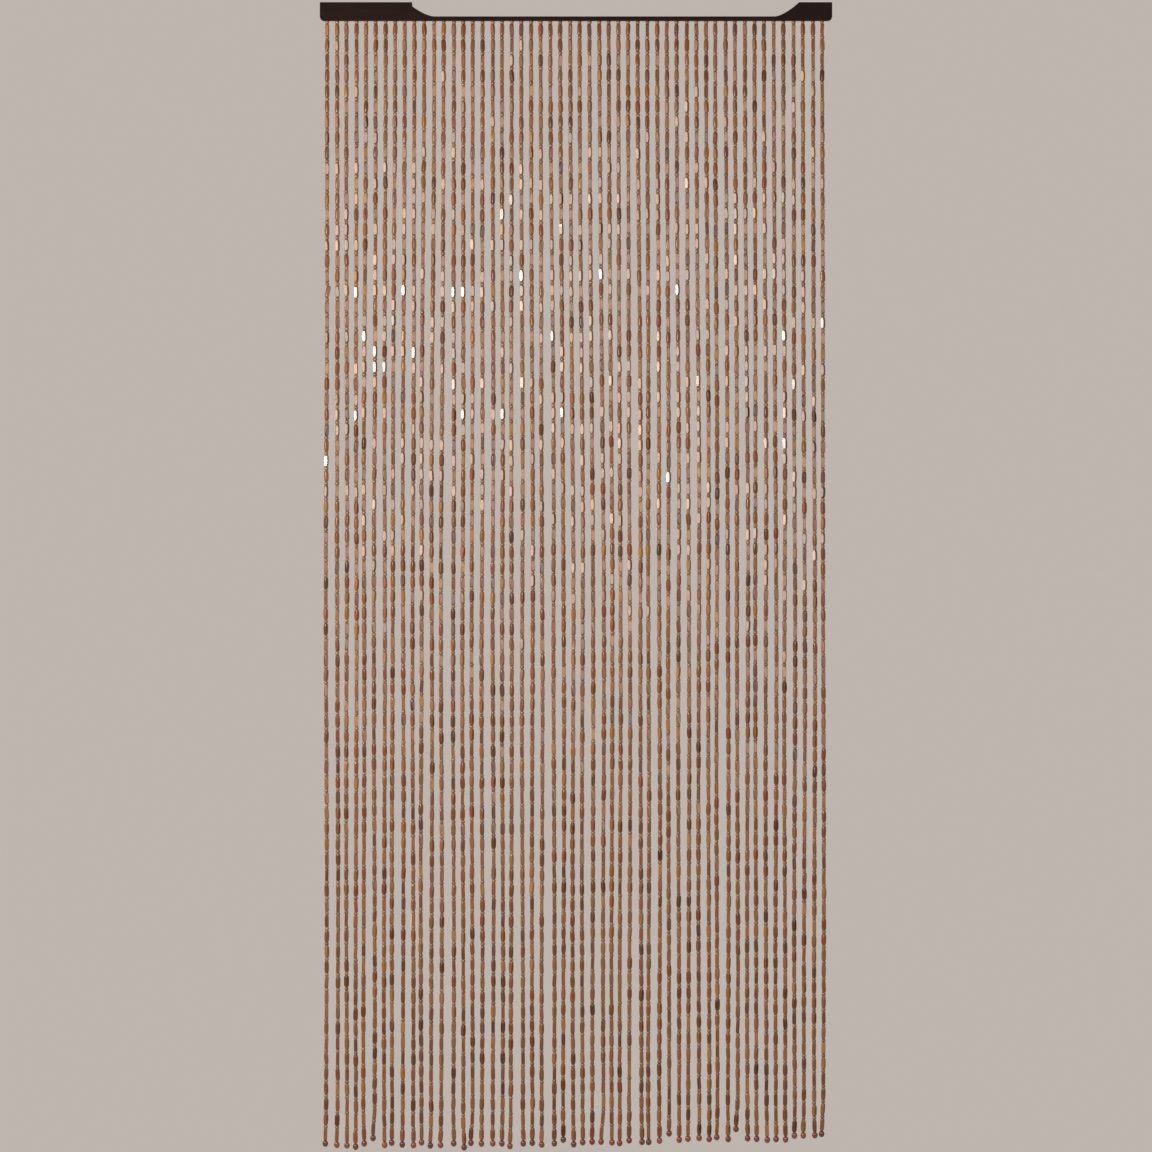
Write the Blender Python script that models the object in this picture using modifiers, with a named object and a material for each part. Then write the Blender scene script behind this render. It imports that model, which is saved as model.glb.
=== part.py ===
"""Bead curtain: a dark wooden rail with strings of small wooden beads hanging from its underside.

Metres, with +Z up. The origin lies on the flat back face of the rail, in the middle of its slim bar. +X runs to
the right as seen from the front, the front faces -Y and the back of the rail faces +Y. Each string is a plain
four-sided strand as wide as its beads, and it ends in a swelling the size of its round end bead.
"""

import math
import random
from collections import namedtuple

import bmesh
import bpy
from mathutils import Vector

MM = 0.001
GAP = 0.3 * MM

# Rail: two raised end blocks joined by a slim bar
RAIL_LENGTH = 900 * MM
RAIL_DEPTH = 20 * MM
BLOCK_HEIGHT = 32 * MM
BAR_HEIGHT = 7 * MM
CORNER_RADIUS = 7 * MM
CORNER_STEPS = 6
EDGE_ROUNDING = 0.8 * MM
EDGE_SEGMENTS = 2
SLOPE_STEPS = 8

# The left block ends in a short upright step and a hollow slope, and the right block in a slope alone
LEFT_BLOCK_LENGTH = 162 * MM
LEFT_STEP_DROP = 7 * MM
LEFT_SLOPE_RUN = 39 * MM
LEFT_SLOPE_POWER = 1.6
RIGHT_BLOCK_LENGTH = 58 * MM
RIGHT_SLOPE_RUN = 42 * MM
RIGHT_SLOPE_POWER = 1.5

# Strip in the rail's underside that holds the strings
STRIP_LENGTH = 883 * MM
STRIP_WIDTH = 9 * MM
STRIP_THICKNESS = 3 * MM

# Strings, numbered from 1 at the left end of the rail
STRING_COUNT = 52
FIRST_STRING_X = -437 * MM
STRING_PITCH = 17.06 * MM
STRING_RADIUS = 3.3 * MM
STRING_SEED = 417
MIDDLE_STEPS = 8

# Each string starts inside the strip and swells to its full width over the first long bead
ROOT_DEPTH = -1.5 * MM
ROOT_RADIUS = 1.8 * MM
FIRST_BEAD_DEPTH = 12 * MM

# Round end bead, below a narrow neck
END_BEAD_DEPTH = 1974.5 * MM
END_BEAD_RADIUS = 5.2 * MM
END_BEAD_HALF_HEIGHT = 6 * MM
END_BEAD_CHAMFER = 3.2 * MM
END_BEAD_TIP_RADIUS = 2.4 * MM
NECK_RADIUS = 1.8 * MM
LAST_BEAD_DEPTH = 16 * MM

# How far the strings stray from straight and even lines
TOP_STRAY = 0.7 * MM
FOOT_STRAY = 2.0 * MM
ASIDE_STRAY = 1.5 * MM
LENGTH_STRAY = 3.0 * MM
SWAY = 0.9 * MM
SHORTEST_SWAY = 900 * MM
LONGEST_SWAY = 1500 * MM
LEAN_HEIGHT = 60 * MM
SETTLED_SHARE = 0.5

# The hang of the curtain: how far the strings drift to the right on their way down, and how much shorter they end
Hang = namedtuple("Hang", "string drift shorter")
HANG = (
    Hang(string=1, drift=0 * MM, shorter=0 * MM),
    Hang(string=9, drift=-4 * MM, shorter=1 * MM),
    Hang(string=17, drift=-1 * MM, shorter=-1 * MM),
    Hang(string=27, drift=7 * MM, shorter=1 * MM),
    Hang(string=33, drift=4 * MM, shorter=6 * MM),
    Hang(string=38, drift=2.5 * MM, shorter=9 * MM),
    Hang(string=46, drift=4 * MM, shorter=10 * MM),
    Hang(string=52, drift=3 * MM, shorter=14 * MM),
)

# End beads that hang noticeably to one side, with the right as plus, or noticeably higher than their neighbours
Stray = namedtuple("Stray", "string aside higher")
STRAYS = (
    Stray(string=4, aside=-1.0 * MM, higher=-5 * MM),
    Stray(string=6, aside=-2.5 * MM, higher=10 * MM),
    Stray(string=15, aside=2.0 * MM, higher=-5 * MM),
    Stray(string=16, aside=-3.0 * MM, higher=3 * MM),
    Stray(string=25, aside=0.0 * MM, higher=7 * MM),
    Stray(string=29, aside=-4.5 * MM, higher=2 * MM),
    Stray(string=36, aside=0.0 * MM, higher=11 * MM),
    Stray(string=43, aside=-3.0 * MM, higher=17 * MM),
    Stray(string=51, aside=1.0 * MM, higher=2 * MM),
    Stray(string=52, aside=-2.5 * MM, higher=4 * MM),
)

# Heights from the origin, which is halfway up the slim bar
UNDERSIDE = -BAR_HEIGHT / 2
BAR_TOP = BAR_HEIGHT / 2
BLOCK_TOP = UNDERSIDE + BLOCK_HEIGHT
STRING_Y = -RAIL_DEPTH / 2

# Colours as red, green and blue out of 255
DARK_STAIN = (43, 30, 28)
LACQUERED_BROWN = (129, 90, 66)
STAIN_ROUGHNESS = 0.45
LACQUER_ROUGHNESS = 0.25

WELD_DISTANCE = 0.01 * MM
FLAT_ANGLE = math.radians(0.1)
SHARP_ANGLE = math.radians(30)

Line = namedtuple("Line", "top drift length aside sway_length sway_start")


def clear_scene():
    for thing in list(bpy.data.objects):
        bpy.data.objects.remove(thing, do_unlink=True)


def new_collection(name):
    collection = bpy.data.collections.new(name)
    bpy.context.scene.collection.children.link(collection)
    return collection


def linear(level):
    share = level / 255
    return share / 12.92 if share <= 0.04045 else ((share + 0.055) / 1.055) ** 2.4


def new_material(name, colour, roughness):
    material = bpy.data.materials.new(name)
    material.use_nodes = True
    shader = material.node_tree.nodes["Principled BSDF"]
    shader.inputs["Base Color"].default_value = (*(linear(level) for level in colour), 1.0)
    shader.inputs["Roughness"].default_value = roughness
    shader.inputs["Metallic"].default_value = 0.0
    return material


def mesh_from_curve(curve_object):
    """Replaces a curve object with a mesh object whose caps are welded to its sides."""
    name = curve_object.name
    collection = curve_object.users_collection[0]
    evaluated = curve_object.evaluated_get(bpy.context.evaluated_depsgraph_get())
    mesh = bpy.data.meshes.new_from_object(evaluated)
    placement = curve_object.matrix_world.copy()
    bpy.data.objects.remove(curve_object, do_unlink=True)
    shape = bmesh.new()
    shape.from_mesh(mesh)
    bmesh.ops.remove_doubles(shape, verts=shape.verts, dist=WELD_DISTANCE)
    bmesh.ops.dissolve_limit(shape, angle_limit=FLAT_ANGLE, verts=shape.verts, edges=shape.edges)
    bmesh.ops.recalc_face_normals(shape, faces=shape.faces)
    shape.to_mesh(mesh)
    shape.free()
    result = bpy.data.objects.new(name, mesh)
    result.matrix_world = placement
    collection.objects.link(result)
    return result


def box(name, size, centre, collection):
    bpy.ops.mesh.primitive_cube_add(size=1.0, location=centre)
    result = bpy.context.object
    result.name = name
    result.data.name = name
    for vertex in result.data.vertices:
        vertex.co = Vector(vertex.co) * Vector(size)
    for old in list(result.users_collection):
        old.objects.unlink(result)
    collection.objects.link(result)
    return result


def hide_cutter(cutter):
    cutter.hide_render = True
    cutter.display_type = "WIRE"


def add_boolean(target, other, operation):
    boolean = target.modifiers.new(operation.title(), "BOOLEAN")
    boolean.operation = operation
    boolean.solver = "EXACT"
    boolean.object = other


def corner(centre_x, from_angle, to_angle):
    """Points of a rounded lower corner of the rail, as x and z."""
    points = []
    for step in range(CORNER_STEPS + 1):
        angle = math.radians(from_angle + (to_angle - from_angle) * step / CORNER_STEPS)
        x = centre_x + CORNER_RADIUS * math.cos(angle)
        z = UNDERSIDE + CORNER_RADIUS + CORNER_RADIUS * math.sin(angle)
        points.append((x, z))
    return points


def slope(high_x, run, high_z, power):
    """Points of a hollow slope from a block's edge down to the slim bar, without the block's own corner."""
    points = []
    for step in range(1, SLOPE_STEPS + 1):
        share = step / SLOPE_STEPS
        points.append((high_x + run * share, BAR_TOP + (high_z - BAR_TOP) * (1 - share) ** power))
    return points


def rail_outline():
    """The rail's front outline as x and z, counterclockwise from the lower left corner."""
    end_x = RAIL_LENGTH / 2
    left_x = -end_x + LEFT_BLOCK_LENGTH
    right_x = end_x - RIGHT_BLOCK_LENGTH
    step_z = BLOCK_TOP - LEFT_STEP_DROP
    right_slope = slope(right_x, -RIGHT_SLOPE_RUN, BLOCK_TOP, RIGHT_SLOPE_POWER)
    left_slope = slope(left_x, LEFT_SLOPE_RUN, step_z, LEFT_SLOPE_POWER)
    return [
        *corner(-end_x + CORNER_RADIUS, 180, 270),
        *corner(end_x - CORNER_RADIUS, 270, 360),
        (end_x, BLOCK_TOP),
        (right_x, BLOCK_TOP),
        *right_slope,
        *reversed(left_slope),
        (left_x, step_z),
        (left_x, BLOCK_TOP),
        (-end_x, BLOCK_TOP),
    ]


def outline_plate(name, points, thickness, collection):
    """A plate of the outline's shape, upright and centred on the strings' plane."""
    curve = bpy.data.curves.new(name, "CURVE")
    curve.dimensions = "2D"
    curve.fill_mode = "BOTH"
    curve.extrude = thickness / 2
    spline = curve.splines.new("POLY")
    spline.points.add(len(points) - 1)
    for point, (x, z) in zip(spline.points, points, strict=True):
        point.co = (x, z, 0.0, 1.0)
    spline.use_cyclic_u = True
    plate = bpy.data.objects.new(name, curve)
    plate.location = (0.0, STRING_Y, 0.0)
    plate.rotation_euler = (math.radians(90), 0.0, 0.0)
    collection.objects.link(plate)
    bpy.context.view_layer.update()
    return mesh_from_curve(plate)


def make_rail(parts, cutters):
    """The dark rail, with a groove in its underside for the strip."""
    rail = outline_plate("rail", rail_outline(), RAIL_DEPTH, parts)
    rounding = rail.modifiers.new("Edges", "BEVEL")
    rounding.width = EDGE_ROUNDING
    rounding.segments = EDGE_SEGMENTS
    rounding.limit_method = "ANGLE"
    rounding.angle_limit = SHARP_ANGLE
    groove_height = 2 * (STRIP_THICKNESS + GAP)
    groove_size = (STRIP_LENGTH + 2 * GAP, STRIP_WIDTH + 2 * GAP, groove_height)
    groove = box("rail_groove", groove_size, (0.0, STRING_Y, UNDERSIDE), cutters)
    hide_cutter(groove)
    add_boolean(rail, groove, "DIFFERENCE")
    rail.data.materials.append(new_material("dark_stain", DARK_STAIN, STAIN_ROUGHNESS))
    rail.data.shade_smooth()
    rail.data.set_sharp_from_angle(angle=SHARP_ANGLE)
    return rail


def smooth(share):
    share = min(max(share, 0.0), 1.0)
    return share * share * (3 - 2 * share)


def hang_of(string):
    """The drift and the shortening of a string, eased between the rows of HANG."""
    low, high = next(pair for pair in zip(HANG, HANG[1:]) if string <= pair[1].string)
    share = smooth((string - low.string) / (high.string - low.string))
    drift = low.drift + (high.drift - low.drift) * share
    shorter = low.shorter + (high.shorter - low.shorter) * share
    return drift, shorter


def line_of(string):
    """Where a string hangs, with small strays of its own."""
    chance = random.Random(STRING_SEED + string)
    drift, shorter = hang_of(string)
    top = FIRST_STRING_X + (string - 1) * STRING_PITCH + chance.uniform(-TOP_STRAY, TOP_STRAY)
    drift += chance.uniform(-FOOT_STRAY, FOOT_STRAY)
    aside = chance.uniform(-ASIDE_STRAY, ASIDE_STRAY)
    higher = chance.uniform(-LENGTH_STRAY, LENGTH_STRAY)
    sway_length = chance.uniform(SHORTEST_SWAY, LONGEST_SWAY)
    sway_start = chance.uniform(0.0, 2 * math.pi)
    for stray in STRAYS:
        if stray.string == string:
            aside = stray.aside
            higher = stray.higher
    length = END_BEAD_DEPTH - shorter - higher
    return Line(top, drift, length, aside, sway_length, sway_start)


def centre_at(line, depth):
    """The centre of a string at a depth below the rail's underside."""
    settled = smooth(depth / (SETTLED_SHARE * line.length))
    turn = line.sway_start + 2 * math.pi * depth / line.sway_length
    lean = smooth(1 - (line.length - depth) / LEAN_HEIGHT)
    x = line.top + line.drift * settled + SWAY * settled * math.sin(turn) + line.aside * lean
    y = STRING_Y + SWAY * settled * math.cos(turn)
    return Vector((x, y, UNDERSIDE - depth))


def sections_of(line):
    """The depth and the radius of each section of a strand, from its root to the tip of its end bead."""
    last_depth = line.length - LAST_BEAD_DEPTH
    sections = [(ROOT_DEPTH, ROOT_RADIUS), (0.0, ROOT_RADIUS)]
    for step in range(MIDDLE_STEPS + 1):
        depth = FIRST_BEAD_DEPTH + (last_depth - FIRST_BEAD_DEPTH) * step / MIDDLE_STEPS
        sections.append((depth, STRING_RADIUS))
    sections += [
        (line.length - END_BEAD_HALF_HEIGHT, NECK_RADIUS),
        (line.length - END_BEAD_HALF_HEIGHT + END_BEAD_CHAMFER, END_BEAD_RADIUS),
        (line.length + END_BEAD_HALF_HEIGHT - END_BEAD_CHAMFER, END_BEAD_RADIUS),
        (line.length + END_BEAD_HALF_HEIGHT, END_BEAD_TIP_RADIUS),
    ]
    return sections


def make_strands(collection):
    """All the strands as one mesh of four-sided bodies that stand apart."""
    curve = bpy.data.curves.new("strands", "CURVE")
    curve.dimensions = "3D"
    curve.bevel_depth = STRING_RADIUS
    curve.bevel_resolution = 0
    curve.use_fill_caps = True
    for string in range(1, STRING_COUNT + 1):
        line = line_of(string)
        sections = sections_of(line)
        spline = curve.splines.new("POLY")
        spline.points.add(len(sections) - 1)
        for point, (depth, radius) in zip(spline.points, sections, strict=True):
            point.co = (*centre_at(line, depth), 1.0)
            point.radius = radius / STRING_RADIUS
    strands = bpy.data.objects.new("strands", curve)
    collection.objects.link(strands)
    bpy.context.view_layer.update()
    return mesh_from_curve(strands)


def make_bead_strings(parts, cutters):
    """The narrow strip in the rail's underside with every strand fused to it."""
    strip_size = (STRIP_LENGTH, STRIP_WIDTH, STRIP_THICKNESS)
    strip_centre = (0.0, STRING_Y, UNDERSIDE + STRIP_THICKNESS / 2)
    strings = box("bead_strings", strip_size, strip_centre, parts)
    strands = make_strands(cutters)
    hide_cutter(strands)
    add_boolean(strings, strands, "UNION")
    strings.data.materials.append(new_material("lacquered_beads", LACQUERED_BROWN, LACQUER_ROUGHNESS))
    return strings


def main():
    clear_scene()
    parts = new_collection("bead_curtain")
    cutters = new_collection("cutters")
    make_rail(parts, cutters)
    make_bead_strings(parts, cutters)


main()
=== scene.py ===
"""Looks of the bead curtain: a stained rail, the strip in its underside and 52 strings of lacquered beads.

Metres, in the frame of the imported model. +X runs to the right as seen from the front, the front faces -Y and
+Z is up. Each string is one piece: a joined mesh of about 73 long cut beads, as many small round beads, a
thread and an end ball.
"""

import math
import random
from collections import namedtuple

import bpy
import numpy as np
from mathutils import Euler, Matrix, Vector


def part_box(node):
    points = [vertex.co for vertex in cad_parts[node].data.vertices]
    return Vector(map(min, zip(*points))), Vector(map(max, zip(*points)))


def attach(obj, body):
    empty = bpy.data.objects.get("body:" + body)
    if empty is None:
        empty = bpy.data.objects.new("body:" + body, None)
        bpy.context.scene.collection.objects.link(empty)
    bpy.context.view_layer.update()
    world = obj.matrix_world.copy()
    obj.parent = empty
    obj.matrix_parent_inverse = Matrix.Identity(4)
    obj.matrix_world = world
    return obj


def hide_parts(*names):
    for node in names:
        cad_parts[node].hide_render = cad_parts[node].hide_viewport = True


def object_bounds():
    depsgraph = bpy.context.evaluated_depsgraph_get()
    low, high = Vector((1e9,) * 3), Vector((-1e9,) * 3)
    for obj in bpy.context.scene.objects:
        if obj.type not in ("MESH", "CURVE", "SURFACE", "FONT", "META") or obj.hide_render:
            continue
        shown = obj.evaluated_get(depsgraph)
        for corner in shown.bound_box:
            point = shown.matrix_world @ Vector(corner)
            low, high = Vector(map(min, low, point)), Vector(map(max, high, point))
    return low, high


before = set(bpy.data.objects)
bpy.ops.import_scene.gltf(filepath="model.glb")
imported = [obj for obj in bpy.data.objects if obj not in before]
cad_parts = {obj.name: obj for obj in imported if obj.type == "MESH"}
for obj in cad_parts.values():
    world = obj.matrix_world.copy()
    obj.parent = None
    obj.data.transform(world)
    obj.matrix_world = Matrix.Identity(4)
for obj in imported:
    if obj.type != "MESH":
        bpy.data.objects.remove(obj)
CAD_LOW, CAD_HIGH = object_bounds()

MM = 0.001

# The rail's place, read from the frame
RAIL_LOW, RAIL_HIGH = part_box("rail")
UNDERSIDE = RAIL_LOW.z
STRING_Y = (RAIL_LOW.y + RAIL_HIGH.y) / 2

# Strip in the rail's underside that holds the strings, as in part.py
STRIP_LENGTH = 883 * MM
STRIP_WIDTH = 9 * MM
STRIP_THICKNESS = 3 * MM
SEAT_RADIUS = 2.4 * MM
SEAT_BOTTOM_RADIUS = 0.9 * MM
SEAT_DEPTH = 1.6 * MM
SEAT_STEPS = 16

# Lines of the strings, numbered from 1 at the left end of the rail, as in part.py
STRING_COUNT = 52
FIRST_STRING_X = -437 * MM
STRING_PITCH = 17.06 * MM
STRING_SEED = 417
END_BALL_DEPTH = 1974.5 * MM
TOP_STRAY = 0.7 * MM
FOOT_STRAY = 2.0 * MM
ASIDE_STRAY = 1.5 * MM
LENGTH_STRAY = 3.0 * MM
SWAY = 0.9 * MM
SHORTEST_SWAY = 900 * MM
LONGEST_SWAY = 1500 * MM
LEAN_HEIGHT = 60 * MM
SETTLED_SHARE = 0.5

# The hang of the curtain: how far strings drift to the right on their way down, and how much shorter they end
Hang = namedtuple("Hang", "string drift shorter")
HANG = (
    Hang(string=1, drift=0 * MM, shorter=0 * MM),
    Hang(string=9, drift=-4 * MM, shorter=1 * MM),
    Hang(string=17, drift=-1 * MM, shorter=-1 * MM),
    Hang(string=27, drift=7 * MM, shorter=1 * MM),
    Hang(string=33, drift=4 * MM, shorter=6 * MM),
    Hang(string=38, drift=2.5 * MM, shorter=9 * MM),
    Hang(string=46, drift=4 * MM, shorter=10 * MM),
    Hang(string=52, drift=3 * MM, shorter=14 * MM),
)

# End balls that hang noticeably to one side, with the right as plus, or higher than their neighbours
Stray = namedtuple("Stray", "string aside higher")
STRAYS = (
    Stray(string=4, aside=-1.0 * MM, higher=-5 * MM),
    Stray(string=6, aside=-2.5 * MM, higher=10 * MM),
    Stray(string=15, aside=2.0 * MM, higher=-5 * MM),
    Stray(string=16, aside=-3.0 * MM, higher=3 * MM),
    Stray(string=25, aside=0.0 * MM, higher=7 * MM),
    Stray(string=29, aside=-4.5 * MM, higher=2 * MM),
    Stray(string=36, aside=0.0 * MM, higher=11 * MM),
    Stray(string=43, aside=-3.0 * MM, higher=17 * MM),
    Stray(string=51, aside=1.0 * MM, higher=2 * MM),
    Stray(string=52, aside=-2.5 * MM, higher=4 * MM),
)

# Beads along a string
BEAD_SEED = 902
UNIT_PITCH = 27.0 * MM
BEAD_GAP = 0.3 * MM
FIRST_BEAD_RISE = 0.55 * MM
BEAD_JITTER = 0.25 * MM
BEAD_TILT = math.radians(1.3)
TANGENT_REACH = 4 * MM

# One bead of the first string sits askew on its thread
ASKEW_STRING = 1
ASKEW_DEPTH = 450 * MM
ASKEW_TILT = math.radians(11)
ASKEW_SHIFT = 1.2 * MM

# Long bead: a barrel with four flat cut sides. Its rings run from one end, at -1, to the other, at 1
LONG_HALF = 10.2 * MM
LONG_HALF_STRAY = 0.3 * MM
LONG_RINGS = (-1.0, -0.86, -0.5, 0.0, 0.5, 0.86, 1.0)
LONG_END_RADIUS = 2.9 * MM
LONG_RADIUS = (3.95 * MM, 4.45 * MM)
LONG_FLAT = (2.9 * MM, 3.4 * MM)
LONG_POWER = (3.0, 7.0)
LONG_AROUND = 12
LEAST_FLAT_ANGLE = math.radians(5)
MOST_FLAT_ANGLE = math.radians(43)

# Small round bead and end ball, with rings at angles from the equator
ROUND_RADIUS = 3.75 * MM
ROUND_HALF_HEIGHT = 2.95 * MM
ROUND_STRAY = 0.05
ROUND_RINGS = (-1.0, -0.78, 0.0, 0.78, 1.0)
ROUND_SHOULDERS = (0.6, 0.89, 1.0, 0.89, 0.6)
ROUND_AROUND = 8
BALL_RADIUS = 5.15 * MM
BALL_HALF_HEIGHT = 6.0 * MM
BALL_RINGS = (-80, -68, -52, -35, -18, 0, 18, 35, 52, 68, 80)
BALL_AROUND = 20
BALL_HOLE_DEPTH = 2.0 * MM

# Thread
THREAD_RADIUS = 0.45 * MM
THREAD_AROUND = 3
THREAD_START = -1.0 * MM

# Stains of the wood, as red, green and blue out of 255, each with its share of the beads
Stain = namedtuple("Stain", "colour share")
LONG_STAINS = (
    Stain(colour=(149, 97, 54), share=0.28),
    Stain(colour=(146, 88, 48), share=0.24),
    Stain(colour=(141, 78, 45), share=0.16),
    Stain(colour=(120, 70, 37), share=0.16),
    Stain(colour=(165, 114, 60), share=0.10),
    Stain(colour=(104, 60, 32), share=0.06),
)
ROUND_STAINS = (
    Stain(colour=(160, 112, 68), share=0.5),
    Stain(colour=(153, 101, 61), share=0.3),
    Stain(colour=(148, 94, 58), share=0.2),
)
BALL_STAINS = (
    Stain(colour=(148, 74, 42), share=0.45),
    Stain(colour=(128, 56, 38), share=0.35),
    Stain(colour=(107, 62, 38), share=0.20),
)
THREAD_STAIN = (140, 115, 86)
STAIN_STRAY = 0.09
PATTERNS = 90

# The pieces' own map for baking, with a cell for each bead
BAKE_MAP = "OFBake"
CAP_SHARE = 0.12
CAP_RADIUS = 0.054
CELL_FILL = 0.94
LONG_CELLS = (10, 8)
LONG_CELLS_TOP = 0.8
ROUND_CELLS = (16, 5)
BALL_CELL = 77
THREAD_CELL = 78

# Grain and blotches of the wood, as cells per metre on each axis, and the middle range of their noise
BEAD_GRAIN = (1500, 1500, 160)
BEAD_BLOTCHES = (260, 260, 90)
RAIL_GRAIN = (14, 420, 420)
NOISE_MIDDLE = (0.3, 0.7)

# Lacquer of the beads: how much the grain, the blotches and the painted shade at the rims darken the stain,
# and its gloss
GRAIN_TONES = (0.8, 1.14)
BLOTCH_TONES = (0.86, 1.12)
# Painted shade: bead corners and ends are darkened as if they lay in shade
RIM_SHADE_TONES = (1.0, 0.62)
BEAD_ROUGHNESS = (0.16, 0.26)
LACQUER_ROUGHNESS = 0.08
BEAD_GRAIN_DEPTH = 0.05 * MM
BEAD_GRAIN_STRENGTH = 0.08

# Rail stain
RAIL_DARK = (22, 8, 7)
RAIL_LIGHT = (38, 18, 16)
RAIL_WORN = (60, 42, 36)
RAIL_TONE_PLACES = (0.3, 0.72)
RAIL_WORN_WIDTH = 1.2 * MM
RAIL_WORN_SHARE = 0.45
RAIL_ROUGHNESS = (0.42, 0.56)
RAIL_SHINE = 0.12
RAIL_GRAIN_DEPTH = 0.15 * MM
RAIL_GRAIN_STRENGTH = 0.3

# Camera: square to the curtain, level with the middle of the photograph's frame
PHOTO_SIZE = 1152
PHOTO_MIDDLE = PHOTO_SIZE / 2
PHOTO_RAIL_LENGTH = 512
PHOTO_UNDERSIDE = 20.8
CAMERA_DISTANCE = 12.0
CAMERA_REACH = 100.0
SENSOR_WIDTH = 36.0

# Stage
BACKGROUND = (190, 182, 174)
AMBIENT_SHARE = 0.55
FLOOR_DROP = 0.25
FLOOR_RADIUS = 2.8
FLOOR_SOLID_SHARE = 0.3
FLOOR_COLOUR = (226, 220, 214)
FLOOR_ROUGHNESS = 0.9
FLOOR_STEPS = 64

# Soft lights, most of it from the left, as the beads in the photograph are lit
Lamp = namedtuple("Lamp", "name place target size brightness colour")
LAMPS = (
    Lamp(
        name="core",
        place=(-1.9, -1.25, -0.5),
        target=(0, 0, -0.55),
        size=(0.35, 0.35),
        brightness=18,
        colour=(1.0, 0.92, 0.84),
    ),
    Lamp(
        name="key",
        place=(-1.6, -1.6, -0.5),
        target=(0, 0, -0.6),
        size=(2.4, 0.9),
        brightness=5.4,
        colour=(1.0, 0.9, 0.8),
    ),
    Lamp(
        name="front",
        place=(0.4, -2.6, -0.6),
        target=(0, 0, -0.6),
        size=(1.4, 1.4),
        brightness=2.2,
        colour=(1.0, 0.92, 0.84),
    ),
    Lamp(
        name="fill",
        place=(2.2, -2.4, -0.8),
        target=(0, 0, -0.8),
        size=(1.5, 1.5),
        brightness=1.0,
        colour=(1.0, 0.95, 0.9),
    ),
)

Line = namedtuple("Line", "top drift length aside sway_length sway_start")
Shape = namedtuple("Shape", "corners sides flat places")
Cell = namedtuple("Cell", "left low width height")


def linear(level):
    share = level / 255
    return share / 12.92 if share <= 0.04045 else ((share + 0.055) / 1.055) ** 2.4


def linear_colour(colour):
    return tuple(linear(level) for level in colour)


def smooth(share):
    share = min(max(share, 0.0), 1.0)
    return share * share * (3 - 2 * share)


def hang_of(string):
    """The drift and the shortening of a string, eased between the rows of HANG."""
    low, high = next(pair for pair in zip(HANG, HANG[1:]) if string <= pair[1].string)
    share = smooth((string - low.string) / (high.string - low.string))
    drift = low.drift + (high.drift - low.drift) * share
    shorter = low.shorter + (high.shorter - low.shorter) * share
    return drift, shorter


def line_of(string):
    """Where a string hangs, with the same small strays as in part.py."""
    chance = random.Random(STRING_SEED + string)
    drift, shorter = hang_of(string)
    top = FIRST_STRING_X + (string - 1) * STRING_PITCH + chance.uniform(-TOP_STRAY, TOP_STRAY)
    drift += chance.uniform(-FOOT_STRAY, FOOT_STRAY)
    aside = chance.uniform(-ASIDE_STRAY, ASIDE_STRAY)
    higher = chance.uniform(-LENGTH_STRAY, LENGTH_STRAY)
    sway_length = chance.uniform(SHORTEST_SWAY, LONGEST_SWAY)
    sway_start = chance.uniform(0.0, 2 * math.pi)
    for stray in STRAYS:
        if stray.string == string:
            aside = stray.aside
            higher = stray.higher
    length = END_BALL_DEPTH - shorter - higher
    return Line(top, drift, length, aside, sway_length, sway_start)


def centre_at(line, depth):
    """The centre of a string at a depth below the rail's underside."""
    settled = smooth(depth / (SETTLED_SHARE * line.length))
    turn = line.sway_start + 2 * math.pi * depth / line.sway_length
    lean = smooth(1 - (line.length - depth) / LEAN_HEIGHT)
    x = line.top + line.drift * settled + SWAY * settled * math.sin(turn) + line.aside * lean
    y = STRING_Y + SWAY * settled * math.cos(turn)
    return Vector((x, y, UNDERSIDE - depth))


def ring_shape(around, heights, is_flat):
    """Faces of a closed body made of rings, with a cap at each end. Heights run from 0 to 1 on the map."""
    corners = []
    sides = []
    flat = []
    places = []
    body = 1 - 2 * CAP_SHARE
    for ring in range(len(heights) - 1):
        low = CAP_SHARE + body * heights[ring]
        high = CAP_SHARE + body * heights[ring + 1]
        for step in range(around):
            after = (step + 1) % around
            left = step / around
            right = (step + 1) / around
            base = ring * around
            corners += [base + step, base + after, base + around + after, base + around + step]
            places += [(left, low), (right, low), (right, high), (left, high)]
            sides.append(4)
            flat.append(is_flat(ring, step))
    top = (len(heights) - 1) * around
    for order, middle in ((range(around - 1, -1, -1), CAP_SHARE / 2), (range(around), 1 - CAP_SHARE / 2)):
        for step in order:
            angle = 2 * math.pi * step / around
            corners.append(step + (top if middle > 0.5 else 0))
            places.append((0.5 + CAP_RADIUS * math.cos(angle), middle + CAP_RADIUS * math.sin(angle)))
        sides.append(around)
        flat.append(True)
    return Shape(np.array(corners), np.array(sides), np.array(flat), np.array(places))


def share_of_height(rings):
    """Ring heights from 0 to 1, from heights that run from -1 to 1."""
    return [(ring + 1) / 2 for ring in rings]


def spread_evenly(count):
    return [step / (count - 1) for step in range(count)]


def cut_side(ring, step):
    """Every third strip of a long bead is a flat cut side, except at the bead's two ends."""
    return step % 3 == 2 and 0 < ring < len(LONG_RINGS) - 2


def never_flat(_ring, _step):
    return False


LONG_SHAPE = ring_shape(LONG_AROUND, share_of_height(LONG_RINGS), cut_side)
ROUND_SHAPE = ring_shape(ROUND_AROUND, share_of_height(ROUND_RINGS), never_flat)
BALL_SHAPE = ring_shape(BALL_AROUND, spread_evenly(len(BALL_RINGS) + 2), never_flat)


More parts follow.
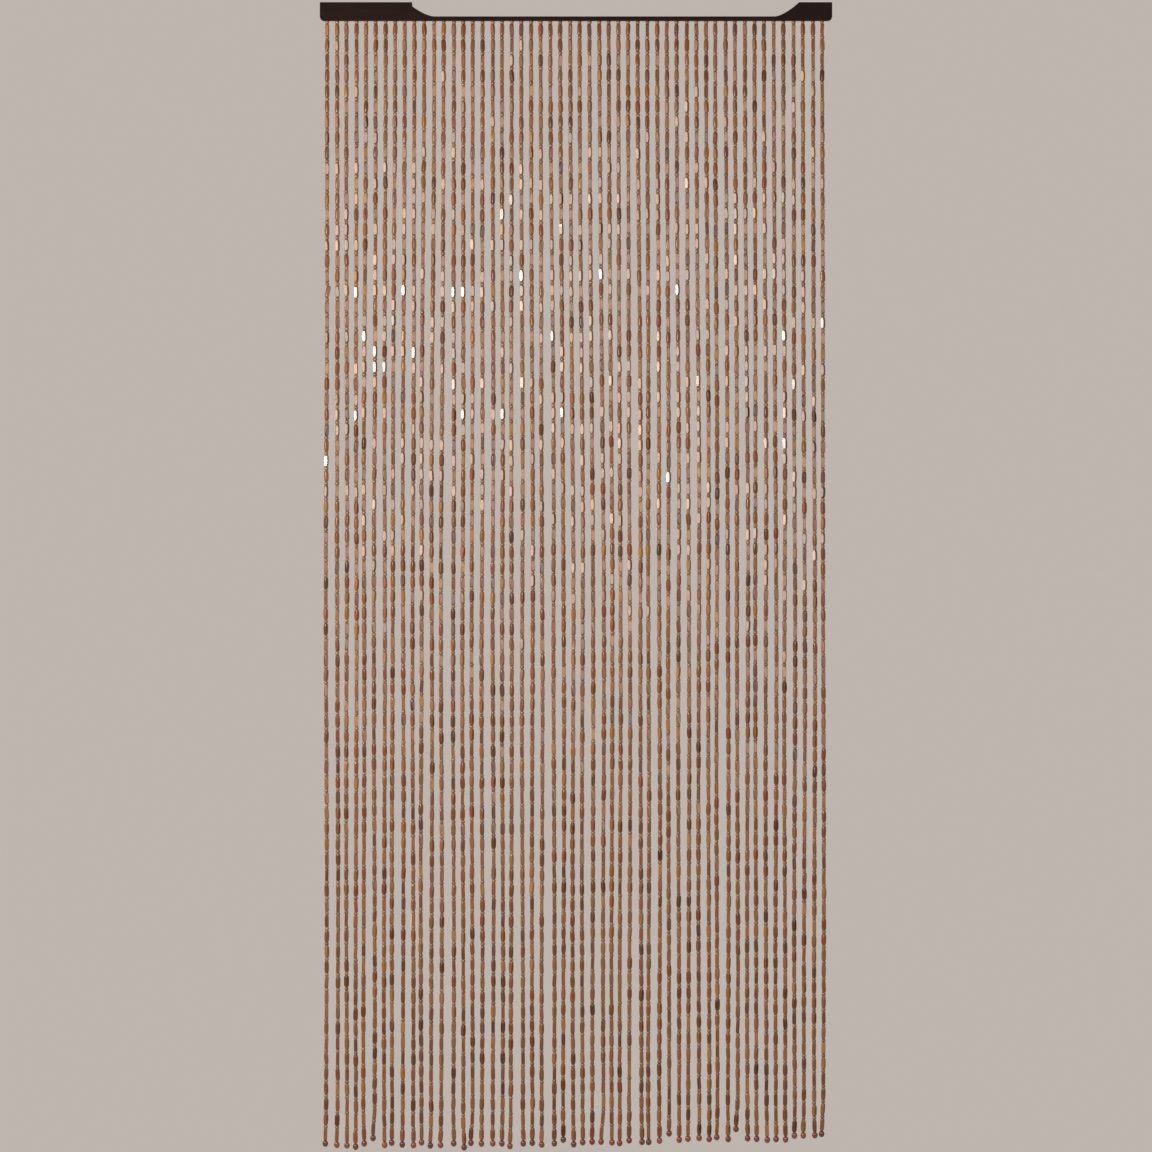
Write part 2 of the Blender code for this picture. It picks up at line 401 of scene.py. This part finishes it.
def cut_section(radius, flats):
    """Points round one ring of a long bead: a circle cut by two pairs of flat sides."""
    angles = [max(math.acos(min(flat / radius, 1.0)), LEAST_FLAT_ANGLE) for flat in flats]
    angles = [min(angle, MOST_FLAT_ANGLE) for angle in angles]
    points = []
    for quarter in range(4):
        start = angles[quarter % 2]
        end = math.pi / 2 - angles[(quarter + 1) % 2]
        for angle in (start, (start + end) / 2, end):
            turned = angle + quarter * math.pi / 2
            reach = min(
                radius,
                flats[0] / max(abs(math.cos(turned)), 1e-6),
                flats[1] / max(abs(math.sin(turned)), 1e-6),
            )
            points.append((reach * math.cos(turned), reach * math.sin(turned)))
    return points


def long_bead(chance):
    """Points of an upright long bead round the origin, their share of painted rim shade, and its half length.
    """
    half = LONG_HALF + chance.uniform(-LONG_HALF_STRAY, LONG_HALF_STRAY)
    widest = chance.uniform(*LONG_RADIUS)
    flats = (chance.uniform(*LONG_FLAT), chance.uniform(*LONG_FLAT))
    power = chance.uniform(*LONG_POWER)
    points = []
    edges = []
    for height in LONG_RINGS:
        radius = LONG_END_RADIUS + (widest - LONG_END_RADIUS) * (1 - abs(height) ** power)
        for step, (x, y) in enumerate(cut_section(radius, flats)):
            points.append((x, y, height * half))
            # Painted shade on the middle of each rounded corner and at both ends of the bead
            edges.append(1.0 if step % 3 == 1 or abs(height) == 1.0 else 0.0)
    return np.array(points), np.array(edges), half


def ring_points(around, radius, z):
    angles = [2 * math.pi * step / around for step in range(around)]
    return [(radius * math.cos(angle), radius * math.sin(angle), z) for angle in angles]


def round_bead(chance):
    """Points of an upright round bead, their share of painted shade at its ends, and its half height."""
    size = 1 + chance.uniform(-ROUND_STRAY, ROUND_STRAY)
    radius = ROUND_RADIUS * size
    height = ROUND_HALF_HEIGHT * size
    points = []
    edges = []
    for ring, share in zip(ROUND_RINGS, ROUND_SHOULDERS):
        points += ring_points(ROUND_AROUND, radius * share, height * ring)
        # Painted shade on the end rings, where the bead meets its neighbours
        edges += [1.0 if abs(ring) == 1.0 else 0.0] * ROUND_AROUND
    return np.array(points), np.array(edges), height


def end_ball():
    """Points of the end ball, with a drilled hole at each end, and their share of painted shade round the
    holes.
    """
    last = math.radians(BALL_RINGS[-1])
    hole = BALL_RADIUS * math.cos(last)
    floor = BALL_HALF_HEIGHT * math.sin(last) - BALL_HOLE_DEPTH
    points = ring_points(BALL_AROUND, hole, -floor)
    # The holes' floors and outermost rings carry full painted shade
    edges = [1.0] * BALL_AROUND
    for degrees in BALL_RINGS:
        angle = math.radians(degrees)
        radius = BALL_RADIUS * math.cos(angle)
        points += ring_points(BALL_AROUND, radius, BALL_HALF_HEIGHT * math.sin(angle))
        edges += [1.0 if abs(degrees) == BALL_RINGS[-1] else 0.0] * BALL_AROUND
    points += ring_points(BALL_AROUND, hole, floor)
    edges += [1.0] * BALL_AROUND
    return np.array(points), np.array(edges)


def stain_from(stains, chance):
    """A stain picked by share, a little lighter or darker than its colour, in linear light."""
    stain = chance.choices(stains, weights=[row.share for row in stains])[0]
    tint = 1 + chance.uniform(-STAIN_STRAY, STAIN_STRAY)
    return [min(channel * tint * tint, 1.0) for channel in linear_colour(stain.colour)]


def grid_cell(index, cells, low, high):
    """A cell of the bake map, counted in rows, with a little space round it."""
    columns, rows = cells
    width = 1 / columns
    height = (high - low) / rows
    left = (index % columns + (1 - CELL_FILL) / 2) * width
    bottom = low + (index // columns + (1 - CELL_FILL) / 2) * height
    return Cell(left, bottom, width * CELL_FILL, height * CELL_FILL)


def long_cell(index):
    return grid_cell(index, LONG_CELLS, 0.0, LONG_CELLS_TOP)


def round_cell(index):
    return grid_cell(index, ROUND_CELLS, LONG_CELLS_TOP, 1.0)


class Joined:
    """Small bodies gathered into one mesh, each with its own stain, pattern and cell of the bake map."""

    def __init__(self):
        self.points = []
        self.corners = []
        self.sides = []
        self.flat = []
        self.places = []
        self.stains = []
        self.edges = []
        self.patterns = []
        self.count = 0

    def add(self, points, edges, shape, stain, pattern, cell):
        self.points.append(points)
        self.corners.append(shape.corners + self.count)
        self.sides.append(shape.sides)
        self.flat.append(shape.flat)
        self.places.append(shape.places * (cell.width, cell.height) + (cell.left, cell.low))
        self.stains.append(np.tile((*stain, 1.0), (len(points), 1)))
        self.edges.append(edges)
        self.patterns.append(np.full(len(points), pattern))
        self.count += len(points)

    def mesh(self, name):
        points = np.concatenate(self.points)
        corners = np.concatenate(self.corners)
        sides = np.concatenate(self.sides)
        mesh = bpy.data.meshes.new(name)
        mesh.vertices.add(len(points))
        mesh.vertices.foreach_set("co", points.ravel())
        mesh.loops.add(len(corners))
        mesh.loops.foreach_set("vertex_index", corners)
        mesh.polygons.add(len(sides))
        mesh.polygons.foreach_set("loop_start", np.concatenate(([0], np.cumsum(sides)[:-1])))
        mesh.polygons.foreach_set("use_smooth", ~np.concatenate(self.flat))
        mesh.update(calc_edges=True)
        bake_map = mesh.uv_layers.new(name=BAKE_MAP)
        bake_map.uv.foreach_set("vector", np.concatenate(self.places).ravel())
        stain = mesh.attributes.new("stain", "FLOAT_COLOR", "POINT")
        stain.data.foreach_set("color", np.concatenate(self.stains).ravel())
        # Share of painted shade at the beads' rims
        painted_rim_shade = mesh.attributes.new("painted_rim_shade", "FLOAT", "POINT")
        painted_rim_shade.data.foreach_set("value", np.concatenate(self.edges))
        pattern = mesh.attributes.new("pattern", "FLOAT", "POINT")
        pattern.data.foreach_set("value", np.concatenate(self.patterns))
        mesh.validate()
        return mesh


def placed(points, line, depth, chance, tilt=0.0, shift=0.0):
    """Points of an upright bead, moved to its depth, turned along the string and tilted a little."""
    tangent = centre_at(line, depth - TANGENT_REACH) - centre_at(line, depth + TANGENT_REACH)
    along = Vector((0, 0, 1)).rotation_difference(tangent).to_matrix()
    tilts = (chance.gauss(0, BEAD_TILT), chance.gauss(0, BEAD_TILT) + tilt)
    lean = Euler((*tilts, 0.0)).to_matrix()
    spin = Matrix.Rotation(chance.uniform(0, 2 * math.pi), 3, "Z")
    turned = points @ np.array(along @ lean @ spin).T
    stray = Vector((chance.gauss(0, BEAD_JITTER / 2) + shift, chance.gauss(0, BEAD_JITTER / 2), 0))
    return turned + np.array(centre_at(line, depth) + stray)


def thread_shape(rings):
    return ring_shape(THREAD_AROUND, spread_evenly(rings), never_flat)


def add_thread(joined, line, depths):
    points = []
    for depth in reversed(depths):
        centre = centre_at(line, depth)
        points += [Vector(point) + centre for point in ring_points(THREAD_AROUND, THREAD_RADIUS, 0.0)]
    stain = linear_colour(THREAD_STAIN)
    shape = thread_shape(len(depths))
    joined.add(np.array(points), np.zeros(len(points)), shape, stain, 0.0, long_cell(THREAD_CELL))


def beads_of(line, chance):
    """The beads of one string from the top: kind, points, painted rim shade and half height, and their
    stretch.
    """
    space = line.length + FIRST_BEAD_RISE - BALL_HALF_HEIGHT * math.sin(math.radians(BALL_RINGS[-1]))
    units = round(space / UNIT_PITCH)
    beads = []
    for _ in range(units):
        beads.append(("round", *round_bead(chance)))
        beads.append(("long", *long_bead(chance)))
    taken = sum(2 * half + BEAD_GAP for _, _, _, half in beads)
    return beads, space / taken


def looks_of(kind, count):
    """The faces, the stains and the cell of the bake map of the next bead of a kind."""
    if kind == "long":
        return LONG_SHAPE, LONG_STAINS, long_cell(count)
    return ROUND_SHAPE, ROUND_STAINS, round_cell(count)


def add_beads(joined, string, line, chance):
    """Adds the long and round beads of one string, and returns the depths of the round ones."""
    beads, stretch = beads_of(line, chance)
    depth = -FIRST_BEAD_RISE
    counts = {"round": 0, "long": 0}
    depths = []
    askew_done = string != ASKEW_STRING
    for kind, points, edges, half in beads:
        depth += (half + BEAD_GAP / 2) * stretch
        tilt = 0.0
        shift = 0.0
        if kind == "long" and depth > ASKEW_DEPTH and not askew_done:
            tilt = ASKEW_TILT
            shift = ASKEW_SHIFT
            askew_done = True
        shape, stains, cell = looks_of(kind, counts[kind])
        counts[kind] += 1
        where = placed(points * (1, 1, stretch), line, depth, chance, tilt, shift)
        joined.add(where, edges, shape, stain_from(stains, chance), chance.uniform(0, PATTERNS), cell)
        if kind == "round":
            depths.append(depth)
        depth += (half + BEAD_GAP / 2) * stretch
    return depths


def add_end_ball(joined, line, chance):
    points, edges = end_ball()
    where = placed(points, line, line.length, chance)
    stain = stain_from(BALL_STAINS, chance)
    joined.add(where, edges, BALL_SHAPE, stain, chance.uniform(0, PATTERNS), long_cell(BALL_CELL))


def make_string(string, material):
    """One string of beads as a joined mesh."""
    line = line_of(string)
    chance = random.Random(BEAD_SEED + string)
    joined = Joined()
    depths = add_beads(joined, string, line, chance)
    add_end_ball(joined, line, chance)
    add_thread(joined, line, [THREAD_START, *depths, line.length])
    piece = add_piece(f"string_{string:02d}", joined.mesh(f"string_{string:02d}"), material)


def add_piece(name, mesh, material):
    """A piece of the scene that stands for the solids' strings and the strip that holds them."""
    mesh.materials.append(material)
    piece = bpy.data.objects.new(name, mesh)
    bpy.context.scene.collection.objects.link(piece)
    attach(piece, "root")
    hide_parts("bead_strings")
    return piece


def new_material(name):
    material = bpy.data.materials.new(name)
    material.use_nodes = True
    nodes = material.node_tree.nodes
    return material, nodes, material.node_tree.links, nodes["Principled BSDF"]


def add_range(nodes, links, value, from_range, to_range):
    """A node that carries a value from one range to another, and its result."""
    node = nodes.new("ShaderNodeMapRange")
    links.new(value, node.inputs["Value"])
    node.inputs["From Min"].default_value = from_range[0]
    node.inputs["From Max"].default_value = from_range[1]
    node.inputs["To Min"].default_value = to_range[0]
    node.inputs["To Max"].default_value = to_range[1]
    return node.outputs["Result"]


def add_maths(nodes, links, operation, first, second):
    node = nodes.new("ShaderNodeMath")
    node.operation = operation
    links.new(first, node.inputs[0])
    links.new(second, node.inputs[1])
    return node.outputs["Value"]


def add_attribute(nodes, name, output):
    node = nodes.new("ShaderNodeAttribute")
    node.attribute_name = name
    return node.outputs[output]


def add_noise(nodes, links, scales, detail, shift=None):
    """Noise on the piece's own coordinates, as cells per metre on each axis."""
    place = nodes.new("ShaderNodeTexCoord").outputs["Object"]
    mapping = nodes.new("ShaderNodeMapping")
    mapping.inputs["Scale"].default_value = scales
    links.new(place, mapping.inputs["Vector"])
    noise = nodes.new("ShaderNodeTexNoise")
    noise.inputs["Scale"].default_value = 1.0
    noise.inputs["Detail"].default_value = detail
    links.new(mapping.outputs["Vector"], noise.inputs["Vector"])
    if shift is not None:
        noise.noise_dimensions = "4D"
        links.new(shift, noise.inputs["W"])
    return noise.outputs["Fac"]


def add_bump(nodes, links, shader, height, strength, distance):
    bump = nodes.new("ShaderNodeBump")
    bump.inputs["Strength"].default_value = strength
    bump.inputs["Distance"].default_value = distance
    links.new(height, bump.inputs["Height"])
    links.new(bump.outputs["Normal"], shader.inputs["Normal"])


def bead_lacquer():
    """Stained and lacquered wood, with the stain of each bead taken from its mesh, and painted shade at its
    rims.
    """
    material, nodes, links, shader = new_material("lacquered_beads")
    pattern = add_attribute(nodes, "pattern", "Fac")
    grain = add_noise(nodes, links, BEAD_GRAIN, 3, pattern)
    blotches = add_noise(nodes, links, BEAD_BLOTCHES, 2, pattern)
    fine = add_range(nodes, links, grain, NOISE_MIDDLE, GRAIN_TONES)
    broad = add_range(nodes, links, blotches, NOISE_MIDDLE, BLOTCH_TONES)
    # Painted shade: darker at the beads' rounded corners and ends
    rim = add_range(nodes, links, add_attribute(nodes, "painted_rim_shade", "Fac"), (0.2, 1.0), RIM_SHADE_TONES)
    value = add_maths(nodes, links, "MULTIPLY", fine, broad)
    value = add_maths(nodes, links, "MULTIPLY", value, rim)
    tint = nodes.new("ShaderNodeHueSaturation")
    links.new(add_attribute(nodes, "stain", "Color"), tint.inputs["Color"])
    links.new(value, tint.inputs["Value"])
    links.new(tint.outputs["Color"], shader.inputs["Base Color"])
    roughness = add_range(nodes, links, blotches, NOISE_MIDDLE, BEAD_ROUGHNESS)
    links.new(roughness, shader.inputs["Roughness"])
    shader.inputs["Coat Weight"].default_value = 1.0
    shader.inputs["Coat Roughness"].default_value = LACQUER_ROUGHNESS
    add_bump(nodes, links, shader, grain, BEAD_GRAIN_STRENGTH, BEAD_GRAIN_DEPTH)
    return material


def add_worn_edges(nodes, links, colour):
    """The rail's colour with lighter wood along its edges."""
    rounded = nodes.new("ShaderNodeBevel")
    rounded.inputs["Radius"].default_value = RAIL_WORN_WIDTH
    facing = nodes.new("ShaderNodeVectorMath")
    facing.operation = "DOT_PRODUCT"
    links.new(rounded.outputs["Normal"], facing.inputs[0])
    links.new(nodes.new("ShaderNodeNewGeometry").outputs["Normal"], facing.inputs[1])
    worn = add_range(nodes, links, facing.outputs["Value"], (0.98, 0.8), (0.0, RAIL_WORN_SHARE))
    mix = nodes.new("ShaderNodeMix")
    mix.data_type = "RGBA"
    mix.inputs["B"].default_value = (*linear_colour(RAIL_WORN), 1)
    links.new(worn, mix.inputs["Factor"])
    links.new(colour, mix.inputs["A"])
    return mix.outputs["Result"]


def rail_stain():
    """Dark stained wood with a satin finish, its grain along the rail, a little lighter at worn edges."""
    material, nodes, links, shader = new_material("dark_stain")
    grain = add_noise(nodes, links, RAIL_GRAIN, 5)
    tones = nodes.new("ShaderNodeValToRGB")
    for element, place, colour in zip(tones.color_ramp.elements, RAIL_TONE_PLACES, (RAIL_DARK, RAIL_LIGHT)):
        element.position = place
        element.color = (*linear_colour(colour), 1)
    links.new(grain, tones.inputs["Fac"])
    links.new(add_worn_edges(nodes, links, tones.outputs["Color"]), shader.inputs["Base Color"])
    roughness = add_range(nodes, links, grain, NOISE_MIDDLE, RAIL_ROUGHNESS)
    links.new(roughness, shader.inputs["Roughness"])
    shader.inputs["Specular IOR Level"].default_value = RAIL_SHINE
    add_bump(nodes, links, shader, grain, RAIL_GRAIN_STRENGTH, RAIL_GRAIN_DEPTH)
    return material


def strip_points(cuts, centres):
    """Points of the strip: four at each cut between two strings, then the two rings of each seat."""
    points = []
    for x in cuts:
        for z in (UNDERSIDE, UNDERSIDE + STRIP_THICKNESS):
            points += [(x, STRING_Y - STRIP_WIDTH / 2, z), (x, STRING_Y + STRIP_WIDTH / 2, z)]
    for centre in centres:
        for radius, rise in ((SEAT_RADIUS, 0.0), (SEAT_BOTTOM_RADIUS, SEAT_DEPTH)):
            ring = ring_points(SEAT_STEPS, radius, UNDERSIDE + rise)
            points += [(x + centre, y + STRING_Y, z) for x, y, z in ring]
    return points


def seat_faces(left, right, mouth, floor):
    """The underside round one seat, between the cuts left and right of it, and the seat's own faces."""
    corners = [right, right + 1, left + 1, left]
    eighth = SEAT_STEPS // 8
    faces = []
    for side, corner in enumerate(corners):
        start = (2 * side - 1) * eighth
        rim = [mouth + step % SEAT_STEPS for step in range(start, start + 2 * eighth + 1)]
        faces.append((*rim, corners[(side + 1) % 4], corner))
    for step in range(SEAT_STEPS):
        after = (step + 1) % SEAT_STEPS
        faces.append((mouth + after, mouth + step, floor + step, floor + after))
    faces.append(tuple(floor + step for step in reversed(range(SEAT_STEPS))))
    return faces


def make_strip(material):
    """The strip in the rail's underside, with a small countersunk seat for each string."""
    centres = [centre_at(line_of(string), 0.0).x for string in range(1, STRING_COUNT + 1)]
    middles = [(left + right) / 2 for left, right in zip(centres, centres[1:])]
    cuts = [-STRIP_LENGTH / 2, *middles, STRIP_LENGTH / 2]
    last = 4 * (len(cuts) - 1)
    faces = [(0, 2, 3, 1), (last + 1, last + 3, last + 2, last)]
    for seat in range(STRING_COUNT):
        left = 4 * seat
        right = left + 4
        mouth = 4 * len(cuts) + 2 * SEAT_STEPS * seat
        faces += seat_faces(left, right, mouth, mouth + SEAT_STEPS)
        faces.append((left, right, right + 2, left + 2))
        faces.append((right + 1, left + 1, left + 3, right + 3))
        faces.append((left + 2, right + 2, right + 3, left + 3))
    mesh = bpy.data.meshes.new("strip")
    mesh.from_pydata(strip_points(cuts, centres), [], faces)
    add_piece("strip", mesh, material)


def make_floor():
    """A round pale floor below the strings that fades into the background."""
    mesh = bpy.data.meshes.new("floor")
    ring = ring_points(FLOOR_STEPS, FLOOR_RADIUS, CAD_LOW.z - FLOOR_DROP)
    mesh.from_pydata(ring, [], [tuple(range(FLOOR_STEPS))])
    floor = bpy.data.objects.new("floor", mesh)
    bpy.context.scene.collection.objects.link(floor)
    material, nodes, links, shader = new_material("pale_floor")
    shader.inputs["Base Color"].default_value = (*linear_colour(FLOOR_COLOUR), 1)
    shader.inputs["Roughness"].default_value = FLOOR_ROUGHNESS
    length = nodes.new("ShaderNodeVectorMath")
    length.operation = "LENGTH"
    flatten = nodes.new("ShaderNodeVectorMath")
    flatten.operation = "MULTIPLY"
    flatten.inputs[1].default_value = (1, 1, 0)
    links.new(nodes.new("ShaderNodeTexCoord").outputs["Object"], flatten.inputs[0])
    links.new(flatten.outputs["Vector"], length.inputs[0])
    reach = (FLOOR_RADIUS * FLOOR_SOLID_SHARE, FLOOR_RADIUS)
    alpha = add_range(nodes, links, length.outputs["Value"], reach, (1.0, 0.0))
    links.new(alpha, shader.inputs["Alpha"])
    mesh.materials.append(material)


def make_world():
    """Plain grey surroundings, which light the curtain less than they show behind it."""
    world = bpy.data.worlds.new("soft_grey")
    world.use_nodes = True
    nodes = world.node_tree.nodes
    links = world.node_tree.links
    background = nodes["Background"]
    background.inputs["Color"].default_value = (*linear_colour(BACKGROUND), 1)
    seen = nodes.new("ShaderNodeLightPath").outputs["Is Camera Ray"]
    strength = add_range(nodes, links, seen, (0.0, 1.0), (AMBIENT_SHARE, 1.0))
    links.new(strength, background.inputs["Strength"])
    bpy.context.scene.world = world


def make_light(lamp):
    """A soft rectangular light of an even brightness that points at a target and isn't seen itself."""
    light = bpy.data.lights.new(lamp.name, "AREA")
    light.shape = "RECTANGLE"
    light.size, light.size_y = lamp.size
    light.energy = lamp.brightness * math.pi * lamp.size[0] * lamp.size[1]
    light.color = lamp.colour
    holder = bpy.data.objects.new(lamp.name, light)
    holder.location = lamp.place
    aim = Vector(lamp.target) - Vector(lamp.place)
    holder.rotation_euler = aim.to_track_quat("-Z", "Y").to_euler()
    holder.visible_camera = False
    bpy.context.scene.collection.objects.link(holder)


def make_camera():
    """A level camera far in front, so that the curtain fills the frame as in the photograph."""
    metres_per_pixel = (RAIL_HIGH.x - RAIL_LOW.x) / PHOTO_RAIL_LENGTH
    middle_z = UNDERSIDE - (PHOTO_MIDDLE - PHOTO_UNDERSIDE) * metres_per_pixel
    camera = bpy.data.cameras.new("camera")
    camera.sensor_width = SENSOR_WIDTH
    camera.lens = SENSOR_WIDTH * CAMERA_DISTANCE / (PHOTO_SIZE * metres_per_pixel)
    camera.clip_end = CAMERA_REACH
    viewer = bpy.data.objects.new("camera", camera)
    viewer.location = (0.0, STRING_Y - CAMERA_DISTANCE, middle_z)
    viewer.rotation_euler = (math.radians(90), 0.0, 0.0)
    bpy.context.scene.collection.objects.link(viewer)
    bpy.context.scene.camera = viewer


def main():
    bpy.context.scene.view_settings.view_transform = "Standard"
    make_world()
    make_floor()
    make_camera()
    for lamp in LAMPS:
        make_light(lamp)
    stain = rail_stain()
    bpy.data.objects["rail"].material_slots[0].material = stain
    make_strip(stain)
    beads = bead_lacquer()
    for string in range(1, STRING_COUNT + 1):
        make_string(string, beads)


main()
